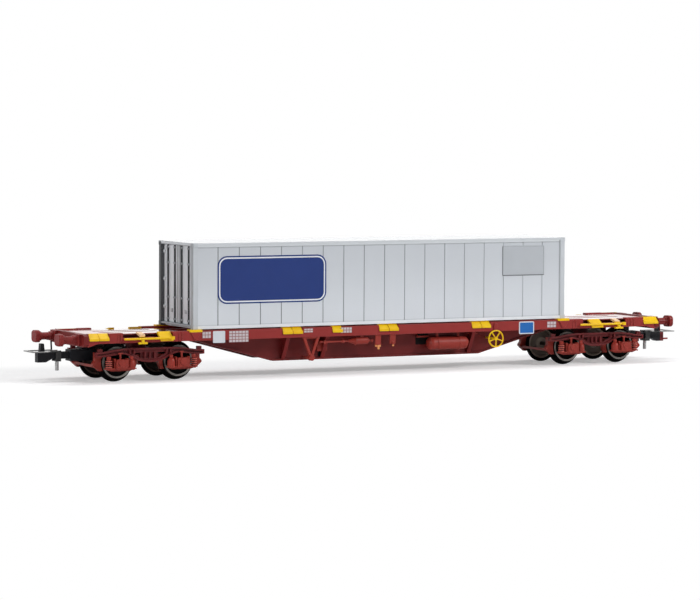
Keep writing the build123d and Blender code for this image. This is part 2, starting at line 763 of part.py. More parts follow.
def bogie_frame():
    beam = box(-bolster_half, bolster_half, -bogie_side, bogie_side, bolster_low, bolster_top)
    plate_disc = rod((0, 0, bolster_top - 0.2), (0, 0, pivot_plate_top), pivot_plate_radius + 0.2)
    bore = rod((0, 0, pivot_pin_low - 0.4), (0, 0, pivot_plate_top + 1), pivot_pin_radius + running_clearance)
    return joined([beam, plate_disc]) - bore


# Brake blocks, as distances out from the axle with their heights
block_inner = 4.4
block_tip = 6.1
block_nose = 8.3
inner_nose = 6.9
hanger_outer = 7.6
hanger_inner = 6.3
block_low = 3.7
block_top = 8.6
nose_height = 5.9
hanger_top = 9.7


def brake_block(x, away, nose, y0, y1):
    """Block with its curved holder beside a wheel at x, on the side that away gives"""
    outline = [(block_inner, block_low + 0.2), (block_tip, block_low), (nose, nose_height - 0.3), (nose, nose_height + 0.2),
               (min(nose, hanger_outer), nose_height + 1.1), (min(nose, hanger_outer), block_top), (block_inner, block_top)]
    block = prism_y([(x + away * reach, z) for reach, z in outline], y0, y1)
    drum = rod((x, min(y0, y1) - 1, axle_height), (x, max(y0, y1) + 1, axle_height), tread_radius + turning_gap)
    return block - drum


def bogie_brakes():
    """Blocks on both sides of each wheel: the outer pairs on a beam, the inner ones hung from the bolster"""
    pieces = []
    side_inner = bogie_side
    for s in (-1, 1):
        wheel = s * axle_x
        beam_x = s * (axle_x + hanger_outer)
        group = [box(beam_x - s * 0.8, beam_x, -wheel_outer, wheel_outer, brake_beam_low, brake_beam_top)]
        for t in (-1, 1):
            y0, y1 = t * (wheel_inner + flange_width + 0.25), t * wheel_outer
            group.append(brake_block(wheel, s, block_nose, y0, y1))
            hanger = (wheel + s * hanger_inner, wheel + s * hanger_outer)
            group.append(box(*hanger, y0, y1, nose_height, hanger_top))
            group.append(box(*hanger, y1 - t * 0.2, t * side_inner, hanger_top - 1.0, hanger_top - 0.2))
            bracket = box(s * bolster_half, wheel - s * hanger_inner, y0, y1, bolster_low + 0.1, block_top)
            pieces.append(joined([brake_block(wheel, -s, inner_nose, y0, y1), bracket]))
        pieces.append(joined(group))
    return together(pieces)


# Container side with its seams and rails
seam_places = [(i - (seam_count - 1) / 2) * seam_pitch for i in range(seam_count)]
roof_low = container_top - panel
wall_half = half_length - post_width


def container_side():
    """Far side wall between the corner posts"""
    outer = half_width - rail_proud
    low, high = container_floor + rail_height, roof_low - top_rail_height
    wall = box(-wall_half, wall_half, half_width - panel, outer, low, roof_low)
    top = box(-wall_half, wall_half, half_width - panel, half_width, high, roof_low)
    seams = [box(x - seam_width / 2, x + seam_width / 2, outer - seam_depth, outer, low, high) for x in seam_places]
    return joined([wall, top]) - seams


def container_floor_plate():
    return box(-wall_half, wall_half, -half_width, half_width, container_floor, container_floor + rail_height)


def castings(e, low, high):
    """The two corner castings at one end, a little proud of the posts"""
    x0, x1 = e * wall_half, e * (half_length + casting_proud)
    y0, y1 = half_width - post_width, half_width + casting_proud
    return [box(x0, x1, t * y0, t * y1, low, high) for t in (-1, 1)]


def container_roof():
    sheet = box(-half_length, half_length, -half_width, half_width, roof_low, container_top)
    edge = half_width - post_width
    seams = [box(x - seam_width / 2, x + seam_width / 2, -edge, edge, container_top - seam_depth, container_top) for x in seam_places]
    corners = castings(-1, roof_low, container_top) + castings(1, roof_low, container_top)
    return sheet - seams - corners


def container_corner_frame(e):
    """Posts with their castings, sill and header at one end"""
    x0, x1 = e * wall_half, e * half_length
    edge = half_width - post_width
    posts = [box(x0, x1, t * edge, t * half_width, container_floor, container_top) for t in (-1, 1)]
    sill_low = container_floor + end_sill_lift
    bars = [
        box(x0, x1, -edge, edge, sill_low, sill_low + end_sill_height),
        box(x0, x1, -edge, edge, roof_low - header_height, roof_low),
    ]
    feet = castings(e, container_floor, container_floor + casting_height)
    heads = castings(e, container_top - casting_height, container_top)
    holes = []
    for t in (-1, 1):
        low, high = (e * spigot_x, t * spigot_y, container_floor - 1), (e * spigot_x, t * spigot_y, container_floor + spigot_hole)
        holes.append(rod(low, high, spigot_radius + spigot_gap))
    return joined(posts + bars + feet + heads) - holes


def end_panel(e):
    """Plain closed end wall"""
    y = half_width - post_width
    sill_high = container_floor + end_sill_lift + end_sill_height
    return box(e * (half_length - panel - 0.4), e * (half_length - 0.4), -y, y, sill_high, roof_low - header_height)


# Doors at the left end, set back between the posts
door_face = -half_length + door_recess
door_low = container_floor + end_sill_lift + end_sill_height + door_gap
door_high = roof_low - header_height - door_gap
door_edge = half_width - post_width


def door_leaf(t):
    return box(door_face, door_face + panel, t * door_gap / 2, t * (door_edge - door_gap / 2), door_low, door_high)


# Locking rods with their brackets, as heights above the container's floor, and a lock handle between each pair
rod_places = (-8.25, -2.75, 2.75, 8.25)
rod_radius = 0.27
rod_stand_off = 0.35
bar_brackets = (2.4, 9.5, 20.8, 25.9)
bracket_half_width = 0.55
bracket_half_height = 0.3
handle_places = (-5.5, 5.5)
handle_height = 5.2


def door_bars():
    pieces = []
    for y in rod_places:
        axis = door_face - rod_stand_off
        group = [rod((axis, y, door_low), (axis, y, door_high), rod_radius)]
        for rise in bar_brackets:
            z = container_floor + rise
            group.append(box(axis - rod_radius, door_face, y - bracket_half_width, y + bracket_half_width,
                             z - bracket_half_height, z + bracket_half_height))
        pieces.append(joined(group))
    for y in handle_places:
        z = container_floor + handle_height
        pieces.append(box(door_face - rod_stand_off, door_face, y - 0.5, y + 0.5, z - 0.6, z + 0.6))
    return together(pieces)


# Door hinges, as heights above the container's floor
hinge_places = (6.2, 15.3, 24.4)
hinge_half = 0.6


def door_hinges():
    pieces = []
    for t in (-1, 1):
        for rise in hinge_places:
            z = container_floor + rise
            pieces.append(box(door_face - 0.3, door_face, t * (door_edge - 2 * hinge_half), t * door_edge, z - hinge_half, z + hinge_half))
    return together(pieces)


# Spigots that the container stands on, each on a seat with a lip over the sill's face
def corner_spigots():
    pieces = []
    for name, e in ends:
        x0, x1 = e * (spigot_x - seat_inner), e * (spigot_x + seat_outer)
        for t in (-1, 1):
            lip = t * (frame_half_width + seat_proud)
            seat = box(x0, x1, t * (sill_inner + 0.2), lip, sill_top, container_floor)
            edge = box(x0, x1, t * frame_half_width, lip, seat_lip_low, sill_top)
            pin = rod((e * spigot_x, t * spigot_y, sill_top), (e * spigot_x, t * spigot_y, container_floor + spigot_length), spigot_radius)
            pieces.append(joined([seat, edge, pin]))
    return together(pieces)


nodes = {}
far_sill = sill()
far_beam = main_beam()
far_flaps = [flap(row) for row in flap_rows]
for name, s in sides:
    nodes["sill_" + name] = far_sill if s > 0 else flip_y(far_sill)
    nodes["main_beam_" + name] = far_beam if s > 0 else flip_y(far_beam)
    nodes["spigot_flaps_" + name] = together(far_flaps if s > 0 else [flip_y(f) for f in far_flaps])
    levers = [hand_lever(*row) for row in lever_rows]
    nodes["hand_levers_" + name] = together(levers if s < 0 else [flip_y(lever) for lever in levers])
    nodes["handwheel_" + name] = handwheel() if s < 0 else flip_y(handwheel())

steel = [far_beam, flip_y(far_beam), far_sill, flip_y(far_sill)]
pockets = [flap_pocket(row) for row in flap_rows]
steel += pockets + [flip_y(p) for p in pockets]
nodes["cross_members"] = together([cross_member(x, deep_sides) - steel for x, deep_sides in cross_rows])
nodes["brake_bracket"] = brake_bracket()
nodes["brake_cylinder"] = brake_cylinder()
nodes["air_tank"] = air_tank()
nodes["valve_handles"] = together([valve_hanger(*row) for row in valve_rows])
nodes["corner_spigots"] = corner_spigots()

right_pieces = {
    "buffers": together([buffer(-buffer_spacing / 2), buffer(buffer_spacing / 2)]),
    "end_deck": end_deck(),
    "frame_bolster": frame_bolster(),
    "coupler_bracket": coupler_bracket(),
    "coupler": coupler(),
    "coupler_loop": coupler_loop(),
}
for name, e in ends:
    for piece, shape in right_pieces.items():
        nodes[piece + "_" + name] = shape if e > 0 else flip_x(shape)
    nodes["headstock_" + name] = headstock(e)

side_frame = bogie_side_frame()
boxes = together([axle_box(s * axle_x, s) for s in (-1, 1)])
brakes = bogie_brakes()
frame = bogie_frame()
for name, e in ends:
    move = Pos(e * pivot_x, 0, 0)
    nodes["bogie_frame_" + name] = move * frame
    nodes["bogie_brakes_" + name] = move * brakes
    nodes["axle_boxes_" + name] = move * together([boxes, flip_y(boxes)])
    for side, s in sides:
        nodes["bogie_side_" + name + "_" + side] = move * (side_frame if s > 0 else flip_y(side_frame))
    for place, u in (("outer", e * axle_x), ("inner", -e * axle_x)):
        x = e * pivot_x + u
        nodes["wheels_" + name + "_" + place] = wheels(x)
        nodes["axle_" + name + "_" + place] = axle(x)

nodes["container_floor"] = container_floor_plate()
nodes["container_roof"] = container_roof()
nodes["container_side_far"] = container_side()
nodes["container_side_near"] = flip_y(container_side())
nodes["container_frame_left"] = container_corner_frame(-1)
nodes["container_frame_right"] = container_corner_frame(1)
nodes["container_end_wall"] = end_panel(1)
nodes["container_door_near"] = door_leaf(-1)
nodes["container_door_far"] = door_leaf(1)
nodes["door_bars"] = door_bars()
nodes["door_hinges"] = door_hinges()

os.makedirs("parts", exist_ok=True)
for name, shape in nodes.items():
    export_step(shape, "parts/" + name + ".step")
print(len(nodes), "nodes")
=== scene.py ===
import math

import bmesh
import bpy
from mathutils import Matrix, Vector


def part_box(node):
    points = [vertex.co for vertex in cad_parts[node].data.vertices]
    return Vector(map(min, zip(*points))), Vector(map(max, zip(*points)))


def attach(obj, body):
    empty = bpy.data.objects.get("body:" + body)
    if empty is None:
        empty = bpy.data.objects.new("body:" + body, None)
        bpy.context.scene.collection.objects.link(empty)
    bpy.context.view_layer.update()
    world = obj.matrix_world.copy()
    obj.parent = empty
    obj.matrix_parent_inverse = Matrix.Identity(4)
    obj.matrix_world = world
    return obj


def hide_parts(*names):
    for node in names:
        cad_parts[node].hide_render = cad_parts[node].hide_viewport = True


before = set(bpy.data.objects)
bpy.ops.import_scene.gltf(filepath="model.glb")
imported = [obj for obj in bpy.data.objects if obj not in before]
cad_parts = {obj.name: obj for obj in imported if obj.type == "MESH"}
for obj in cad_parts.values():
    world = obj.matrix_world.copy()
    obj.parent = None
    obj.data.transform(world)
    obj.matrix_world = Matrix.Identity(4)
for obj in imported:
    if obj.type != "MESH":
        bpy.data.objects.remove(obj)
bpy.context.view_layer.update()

# Lengths are in metres, and one millimetre on the model is this
MM = 0.001


# Camera where the photograph was taken from, with its angles in radians
camera_place = Vector((-0.47044, -0.90354, 0.08433))
camera_turn = 0.4749
camera_tilt = -0.0596
camera_roll = 0.0041
sensor_width = 36.0
lens_in_pixels = 3030.4
picture_width = 700.0
nearest_seen = 0.01
farthest_seen = 20.0


def add_camera():
    forward = Vector((
        math.sin(camera_turn) * math.cos(camera_tilt),
        math.cos(camera_turn) * math.cos(camera_tilt),
        math.sin(camera_tilt),
    ))
    level = Vector((math.cos(camera_turn), -math.sin(camera_turn), 0.0))
    above = level.cross(forward)
    right = level * math.cos(camera_roll) + above * math.sin(camera_roll)
    up = above * math.cos(camera_roll) - level * math.sin(camera_roll)
    data = bpy.data.cameras.new("camera")
    data.sensor_width = sensor_width
    data.lens = lens_in_pixels * sensor_width / picture_width
    data.clip_start = nearest_seen
    data.clip_end = farthest_seen
    camera = bpy.data.objects.new("camera", data)
    turned = Matrix((right, up, -forward)).transposed()
    camera.matrix_world = Matrix.Translation(camera_place) @ turned.to_4x4()
    bpy.context.scene.collection.objects.link(camera)
    bpy.context.scene.camera = camera


# How soft a painted border is on either side of its place
hair = 0.02 * MM
fine = 0.03 * MM
crisp = 0.05 * MM
lined = 0.06 * MM
gentle = 0.1 * MM
# Noise by its use: how many features a metre has, their detail and their roughness
noises = {
    "cloud": (60.0, 2.0, 0.55),
    "drift": (140.0, 2.0, 0.55),
    "board_drift": (160.0, 2.0, 0.55),
    "metal_grain": (1500.0, 3.0, 0.55),
    "wire_grain": (1800.0, 3.0, 0.55),
    "roof_grain": (2300.0, 3.0, 0.55),
    "lacquer_grain": (2300.0, 4.0, 0.7),
    "plastic_grain": (2600.0, 2.0, 0.55),
}
# A colour Mix node's sockets by number
mix_share = 0
mix_first = 6
mix_second = 7
mix_result = 2
bevel_samples = 4
# How much a surface mirrors where nothing else is said, and how rough its clear coat is
plain_sheen = 0.5
plain_coat_gloss = 0.03


class Wire:
    """A shader socket that Python's arithmetic works on"""

    def __init__(self, finish, socket):
        self.finish = finish
        self.socket = socket

    def __add__(self, other):
        return self.finish.maths("ADD", self, other)

    def __sub__(self, other):
        return self.finish.maths("SUBTRACT", self, other)

    def __mul__(self, other):
        return self.finish.maths("MULTIPLY", self, other)

    def __rsub__(self, other):
        return self.finish.maths("SUBTRACT", other, self)

    def __abs__(self):
        return self.finish.maths("ABSOLUTE", self)

    __radd__ = __add__
    __rmul__ = __mul__


class Finish:
    """The nodes of one material"""

    def __init__(self, name):
        self.material = bpy.data.materials.new(name)
        self.material.use_nodes = True
        self.tree = self.material.node_tree
        self.tree.nodes.clear()
        self.place = self.node("ShaderNodeTexCoord", output="Object")
        self.x = self.node("ShaderNodeSeparateXYZ", inputs={"Vector": self.place}, output="X")
        self.y = Wire(self, self.x.socket.node.outputs["Y"])
        self.z = Wire(self, self.x.socket.node.outputs["Z"])

    def node(self, kind, settings=None, inputs=None, output=0):
        made = self.tree.nodes.new(kind)
        for key, value in (settings or {}).items():
            setattr(made, key, value)
        for key, value in (inputs or {}).items():
            if isinstance(value, Wire):
                self.tree.links.new(value.socket, made.inputs[key])
            else:
                made.inputs[key].default_value = value
        return Wire(self, made.outputs[output])

    def maths(self, operation, *values):
        return self.node("ShaderNodeMath", {"operation": operation}, dict(enumerate(values)))

    def most(self, first, second):
        return self.maths("MAXIMUM", first, second)

    def distance(self, along, across):
        return self.maths("SQRT", along * along + across * across)

    def noise(self, use):
        per_metre, detail, roughness = noises[use]
        inputs = {"Vector": self.place, "Scale": per_metre, "Detail": detail, "Roughness": roughness}
        return self.node("ShaderNodeTexNoise", inputs=inputs)

    def mix(self, share, first, second):
        """Colour that goes from the first to the second as share rises"""
        inputs = {mix_share: share, mix_first: rgba(first), mix_second: rgba(second)}
        return self.node("ShaderNodeMix", {"data_type": "RGBA"}, inputs, output=mix_result)

    def rise(self, value, start, end):
        """0 below start, 1 above end and smooth between them"""
        inputs = {"Value": value, "From Min": start, "From Max": end}
        return self.node("ShaderNodeMapRange", {"interpolation_type": "SMOOTHSTEP"}, inputs)

    def beyond(self, value, border, soft):
        """1 where the value lies past a border, which is this soft on either side"""
        return self.rise(value, border - soft, border + soft)

    def short_of(self, value, border, soft):
        """1 where the value lies before a border"""
        return 1.0 - self.beyond(value, border, soft)

    def between(self, value, low, high, soft):
        """1 where the value lies from low to high"""
        return self.beyond(value, low, soft) * self.short_of(value, high, soft)

    def lines(self, value, first, pitch, half_width, soft):
        """1 on lines that repeat every pitch along a value, counted from the first"""
        away = self.maths("PINGPONG", value - first, pitch / 2)
        return self.short_of(away, half_width, soft)

    def rounded(self, radius):
        """Normals that turn softly over an edge"""
        return self.node("ShaderNodeBevel", {"samples": bevel_samples}, {"Radius": radius})

    def edge(self, normal, start, end):
        """1 along edges, where the softened normal leaves the true one"""
        true = self.node("ShaderNodeNewGeometry", output="True Normal")
        product = {"operation": "DOT_PRODUCT"}
        along = self.node("ShaderNodeVectorMath", product, {0: normal, 1: true}, output="Value")
        return self.rise(1.0 - along, start, end)

    def surface(self, colour, roughness, metallic=0.0, sheen=plain_sheen,
                coat=0.0, coat_gloss=plain_coat_gloss, height=None, relief=0.0, normal=None):
        """Material of this colour, with bumps of this relief"""
        inputs = {
            "Base Color": rgba(colour),
            "Roughness": roughness,
            "Metallic": metallic,
            "Specular IOR Level": sheen,
            "Coat Weight": coat,
            "Coat Roughness": coat_gloss,
        }
        if height is not None:
            bump = {"Height": height, "Distance": relief}
            if normal is not None:
                bump["Normal"] = normal
            normal = self.node("ShaderNodeBump", inputs=bump)
        if normal is not None:
            inputs["Normal"] = normal
        return self.shown(self.node("ShaderNodeBsdfPrincipled", inputs=inputs))

    def shown(self, shader):
        """Ends the tree with this shader on the surface"""
        end = self.tree.nodes.new("ShaderNodeOutputMaterial")
        self.tree.links.new(shader.socket, end.inputs["Surface"])
        return self.material


def rgba(colour):
    """A colour with its fourth value, or a wire as it is"""
    return colour if isinstance(colour, Wire) else (*colour, 1.0)


# Colours of the moulded pieces, as linear red, green and blue: the paint, its edges paler from wear and
# painted highlight, its darker patches
paints = {
    "oxide": ((0.235, 0.019, 0.018), (0.55, 0.15, 0.12), (0.17, 0.014, 0.013)),
    # The sill and beam reds are one oxide paint: the sill's is lighter as painted light, the beam's darker as
    # painted shade
    "sill": ((0.31, 0.030, 0.027), (0.66, 0.20, 0.16), (0.28, 0.026, 0.023)),
    "beam": ((0.19, 0.016, 0.015), (0.42, 0.10, 0.08), (0.14, 0.012, 0.011)),
    "bogie": ((0.15, 0.014, 0.016), (0.40, 0.10, 0.085), (0.10, 0.010, 0.011)),
    "brick": ((0.34, 0.038, 0.026), (0.58, 0.16, 0.11), (0.26, 0.028, 0.020)),
    "yellow": ((0.93, 0.60, 0.006), (1.0, 0.80, 0.12), (0.88, 0.48, 0.004)),
    "black": ((0.010, 0.011, 0.015), (0.07, 0.08, 0.10), (0.006, 0.006, 0.008)),
    "rail": ((0.87, 0.90, 0.93), (0.97, 0.98, 0.99), (0.78, 0.81, 0.84)),
    "post": ((0.60, 0.63, 0.665), (0.70, 0.73, 0.76), (0.56, 0.59, 0.62)),
    "door": ((0.70, 0.73, 0.76), (0.84, 0.87, 0.90), (0.64, 0.67, 0.70)),
    "bar": ((0.05, 0.055, 0.06), (0.25, 0.27, 0.29), (0.04, 0.043, 0.046)),
    "hinge": ((0.62, 0.65, 0.68), (0.8, 0.82, 0.84), (0.56, 0.59, 0.62)),
}
# Moulded plastic: how its drift of tone, its edges paler from wear and painted highlight, and its grain show
drift_range = (0.35, 0.65)
drift_share = 0.55
wear_and_highlight_range = (0.02, 0.3)
plastic_edge = 0.12 * MM
plastic_relief = 0.02 * MM
plastic_sheen = 0.25
mean_grain = 0.5
grain_dulling = 0.16


def moulded_plastic(name, kind, gloss=0.42, wear_and_highlight_share=0.6, tinted=None):
    """Painted moulding: a fine grain, a slight drift of tone, edges paler from wear and painted highlight,
    and what tinted lays over them
    """
    colour, worn_and_lit_edge, dark = paints[kind]
    finish = Finish(name)
    drift = finish.rise(finish.noise("drift"), *drift_range)
    grain = finish.noise("plastic_grain")
    soft = finish.rounded(plastic_edge)
    tone = finish.mix(drift * drift_share, colour, dark)
    # Edges pale from wear and painted highlight
    tone = finish.mix(finish.edge(soft, *wear_and_highlight_range) * wear_and_highlight_share, tone, worn_and_lit_edge)
    if tinted:
        tone = tinted(finish, tone)
    rough = gloss + (grain - mean_grain) * grain_dulling
    return finish.surface(tone, rough, sheen=plastic_sheen, height=grain, relief=plastic_relief, normal=soft)


def starting(*heads):
    """The names of all nodes that start with one of these"""
    return [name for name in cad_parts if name.startswith(heads)]


def paint(material, *heads):
    """Gives the material to all nodes whose names start with one of these"""
    for name in starting(*heads):
        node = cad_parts[name]
        node.data.materials.clear()
        node.data.materials.append(material)


# Two narrow flaps of the near side have a paler paint: their places, half width, lowest height and tone
cream_flaps = (-87.8 * MM, 91.0 * MM)
cream_flap_half = 1.3 * MM
cream_flap_low = 14.7 * MM
cream_tone = (0.93, 0.62, 0.36)


def cream(finish, tone):
    near = finish.short_of(finish.y, 0.0, gentle)
    above = finish.beyond(finish.z, cream_flap_low, crisp) * near
    for place in cream_flaps:
        here = finish.between(finish.x, place - cream_flap_half, place + cream_flap_half, crisp)
        tone = finish.mix(here * above, tone, cream_tone)
    return tone


# Coil springs on the axle boxes: their place out from a bogie's turning point and from the middle, their
# ends, and how far from their axis the painted shade of the gaps and the painted highlight of the turns end
bogie_pivot = 84.0 * MM
spring_offset = 14.75 * MM
spring_side = 12.85 * MM
spring_low = 4.75 * MM
spring_high = 7.3 * MM
gap_shade_reach = 0.96 * MM
turn_highlight_reach = 1.09 * MM
turn_highlight_tone = (0.62, 0.14, 0.11)
gap_shade_tone = (0.02, 0.004, 0.005)


def coils(finish, tone):
    """Coil springs: painted shade in the gaps between their turns, and a painted highlight on the turns"""
    along = abs(abs(finish.x) - bogie_pivot) - spring_offset
    away = finish.distance(along, abs(finish.y) - spring_side)
    height = finish.between(finish.z, spring_low, spring_high, crisp)
    near = finish.short_of(away, turn_highlight_reach, hair) * height
    gap_shade = finish.short_of(away, gap_shade_reach, fine)
    return finish.mix(near, tone, finish.mix(gap_shade, turn_highlight_tone, gap_shade_tone))


# The feet of the valve handles are pale below this height
pale_foot_top = 9.4 * MM
pale_foot_tone = (0.80, 0.33, 0.12)


def pale_feet(finish, tone):
    return finish.mix(finish.short_of(finish.z, pale_foot_top, gentle), tone, pale_foot_tone)


# The decks are smooth up to the first distance from the middle, and dull from the second
smooth_deck_end = 93.0 * MM
dull_deck_start = 96.0 * MM
deck_dark = (0.36, 0.055, 0.045)
deck_light = (0.46, 0.08, 0.065)
deck_gloss = 0.10
deck_end_dulling = 0.24
deck_sheen = 0.8
deck_coat = 0.8
deck_coat_gloss = 0.06


def deck_finish():
    """Smooth deck that mirrors the bright room when seen along it"""
    finish = Finish("deck_red")
    tone = finish.mix(finish.noise("board_drift"), deck_dark, deck_light)
    rough = deck_gloss + finish.rise(abs(finish.x), smooth_deck_end, dull_deck_start) * deck_end_dulling
    return finish.surface(tone, rough, sheen=deck_sheen, coat=deck_coat, coat_gloss=deck_coat_gloss)


yellow_gloss = 0.38


def paint_underframe():
    paint(moulded_plastic("underframe_red", "oxide"), "cross_members", "frame_bolster_", "buffers_")
    # The sill takes the red with painted light; the beams and headstocks take the red with painted shade
    paint(moulded_plastic("sill_red_painted_light", "sill"), "sill_")
    paint(moulded_plastic("beam_red_painted_shade", "beam"), "main_beam_", "headstock_")
    paint(deck_finish(), "end_deck_")
    paint(moulded_plastic("bogie_red", "bogie"), "bogie_side_", "bogie_frame_")
    bright = moulded_plastic("fittings_red", "brick")
    paint(bright, "bogie_brakes_", "brake_bracket", "brake_cylinder", "air_tank")
    paint(moulded_plastic("valve_red", "brick", tinted=pale_feet), "valve_handles")
    paint(moulded_plastic("axle_box_red", "brick", tinted=coils), "axle_boxes_")
    signal = moulded_plastic("signal_yellow", "yellow", gloss=yellow_gloss, tinted=cream)
    paint(signal, "spigot_flaps_", "hand_levers_", "handwheel_", "corner_spigots")


# The hook of the right coupler is red-brown beyond this distance
red_hook_start = 117.0 * MM
coupler_gloss = 0.45
# The tail pin of a loop is bright below this height, and its strip grows bright between these distances
bright_pin_top = 6.6 * MM
bright_strip = (114.5 * MM, 116.5 * MM)
bright_strip_share = 0.6
loop_dark = ((0.035, 0.035, 0.036), (0.075, 0.075, 0.073))
loop_bright = ((0.46, 0.46, 0.46), (0.62, 0.62, 0.61))
loop_gloss = 0.3
loop_grain_dulling = 0.2
loop_metallic = 0.6
loop_relief = 0.01 * MM


def red_hook(finish, tone):
    bogie_red = paints["bogie"][0]
    return finish.mix(finish.beyond(finish.x, red_hook_start, gentle), tone, bogie_red)


def paint_couplers():
    black = moulded_plastic("coupler_black", "black", gloss=coupler_gloss, tinted=red_hook)
    paint(black, "coupler_left", "coupler_right", "coupler_bracket_")
    finish = Finish("loop_metal")
    grain = finish.noise("wire_grain")
    pin = finish.short_of(finish.z, bright_pin_top, gentle)
    strip = finish.rise(abs(finish.x), *bright_strip)
    bright = finish.most(pin, strip * bright_strip_share)
    tone = finish.mix(bright, finish.mix(grain, *loop_dark), finish.mix(grain, *loop_bright))
    rough = loop_gloss + grain * loop_grain_dulling
    paint(finish.surface(tone, rough, loop_metallic, height=grain, relief=loop_relief), "coupler_loop_")


# The wheels' rim ring lies between these distances in from the flange, and the tread outside it
rim_ring_start = 1.95 * MM
rim_ring_end = 1.25 * MM
rim_ring_soft = 0.08 * MM
tread_start = 1.2 * MM
# The front starts this far in from the outer face, and the back this far
front_depth = 0.17 * MM
back_depth = 2.2 * MM
# Turned rings: a wave of this many radians to a metre, its middle and half height, and its relief
ring_radians = 9000.0
ring_middle = 0.5
ring_relief = 0.006 * MM
wheel_blacks = ((0.002, 0.002, 0.002), (0.006, 0.006, 0.006))
tread_black = (0.003, 0.003, 0.003)
rim_greys = ((0.26, 0.25, 0.23), (0.36, 0.345, 0.32))
# The backs of the wheels are brown metal, painted darker on the left bogie as painted shade and lighter on
# the right as painted light
left_back_shaded = ((0.07, 0.052, 0.045), (0.11, 0.085, 0.07))
right_back_lit = ((0.30, 0.25, 0.205), (0.44, 0.37, 0.31))
wheel_gloss = 0.6
wheel_grain_dulling = 0.1
rim_polish = 0.2
rim_metallic = 0.6
wheel_sheen = 0.05
axle_browns = ((0.05, 0.045, 0.04), (0.12, 0.11, 0.10))
axle_gloss = 0.4
axle_metallic = 0.8


def wheel_finish(name):
    """Blackened wheels with a dull turned rim and a brown back"""
    low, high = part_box(name)
    centre = (low + high) / 2
    radius = (high.z - low.z) / 2
    face = high.y
    finish = Finish(name + "_metal")
    out = finish.distance(finish.x - centre.x, finish.z - centre.z)
    side = abs(finish.y)
    front = finish.beyond(side, face - front_depth, crisp)
    rim = finish.between(out, radius - rim_ring_start, radius - rim_ring_end, rim_ring_soft) * front
    tread = finish.beyond(out, radius - tread_start, crisp)
    back = finish.short_of(side, face - back_depth, gentle)
    rings = finish.maths("SINE", out * ring_radians) * ring_middle + ring_middle
    grain = finish.noise("metal_grain")
    # The backs take painted shade on the left bogie and painted light on the right
    brown = finish.mix(grain, *(left_back_shaded if centre.x < 0 else right_back_lit))
    tone = finish.mix(back, finish.mix(grain, *wheel_blacks), brown)
    tone = finish.mix(tread, tone, tread_black)
    tone = finish.mix(rim, tone, finish.mix(grain, *rim_greys))
    rough = wheel_gloss + grain * wheel_grain_dulling - rim * rim_polish
    metallic = rim * rim_metallic
    return finish.surface(tone, rough, metallic, sheen=wheel_sheen, height=rings, relief=ring_relief)


def paint_wheels():
    for name in starting("wheels_"):
        paint(wheel_finish(name), name)
    finish = Finish("axle_metal")
    grain = finish.noise("metal_grain")
    tone = finish.mix(grain, *axle_browns)
    rough = axle_gloss + grain * wheel_grain_dulling
    paint(finish.surface(tone, rough, axle_metallic), "axle_left", "axle_right")


# Container side: its skin lies this far behind its rails, and its seams start this far below the skin
skin_depth = 0.15 * MM
seam_start = 0.07 * MM
side_edge = 0.1 * MM
silver_dark = (0.68, 0.715, 0.755)
silver_light = (0.74, 0.775, 0.82)
cloud_range = (0.35, 0.7)
cloud_share = 0.35
# The seams show less towards the right end
seam_grey = (0.10, 0.11, 0.12)
seam_share = 0.8
seam_fading = 0.5
# The side is painted darker upwards as painted shade, below a top rail of this height
upper_shade_silver = (0.42, 0.445, 0.475)
upper_shade_share = 0.4
top_rail = 0.55 * MM
top_rail_silver = (0.66, 0.69, 0.72)
# Thin lines under the top rail, above the bottom rail and before the right post, and how much of each shows
line_grey = (0.30, 0.32, 0.34)
line_width = 0.35 * MM
right_line = 67.6 * MM
top_line_share = 0.4
bottom_line_share = 0.25
right_line_share = 0.75
lacquer_gloss = 0.42
lacquer_grain_dulling = 0.1
lacquer_metallic = 0.15
lacquer_relief = 0.02 * MM


def side_finish():
    """Silver lacquer with dark seams, and thin lines along the rails and the right post"""
    low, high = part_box("container_side_near")
    finish = Finish("silver_paint")
    grain = finish.noise("lacquer_grain")
    tone = finish.mix(grain, silver_dark, silver_light)
    cloud = finish.rise(finish.noise("cloud"), *cloud_range)
    tone = finish.mix(cloud * cloud_share, tone, silver_dark)
    seam = finish.short_of(abs(finish.y), -low.y - skin_depth - seam_start, fine)
    along = finish.rise(finish.x, low.x, high.x)
    tone = finish.mix(seam * (seam_share - along * seam_fading), tone, seam_grey)
    # Painted shade that darkens the side upwards
    upward_shade = finish.rise(finish.z, low.z, high.z)
    tone = finish.mix(upward_shade * upper_shade_share, tone, upper_shade_silver)
    rail_low = high.z - top_rail
    tone = finish.mix(finish.beyond(finish.z, rail_low, crisp), tone, top_rail_silver)
    under = finish.between(finish.z, rail_low - line_width, rail_low, lined)
    above = finish.between(finish.z, low.z, low.z + line_width, lined)
    tone = finish.mix(finish.most(under * top_line_share, above * bottom_line_share), tone, line_grey)
    post = finish.beyond(finish.x, right_line, crisp)
    tone = finish.mix(post * right_line_share, tone, line_grey)
    rough = lacquer_gloss + grain * lacquer_grain_dulling
    soft = finish.rounded(side_edge)
    return finish.surface(tone, rough, lacquer_metallic, height=grain, relief=lacquer_relief, normal=soft)


# Posts of the door end: how far the end's painted shade and the far post's painted shadow reach, and the far
# post's width and top
door_end = -69.67 * MM
door_end_shade_grey = (0.22, 0.235, 0.25)
door_end_shade_share = 0.6
far_post_end = -68.17 * MM
far_post = (11.9 * MM, 13.6 * MM)
far_post_top = 43.85 * MM
far_post_shadow_grey = (0.06, 0.065, 0.07)
far_post_shadow_share = 0.92


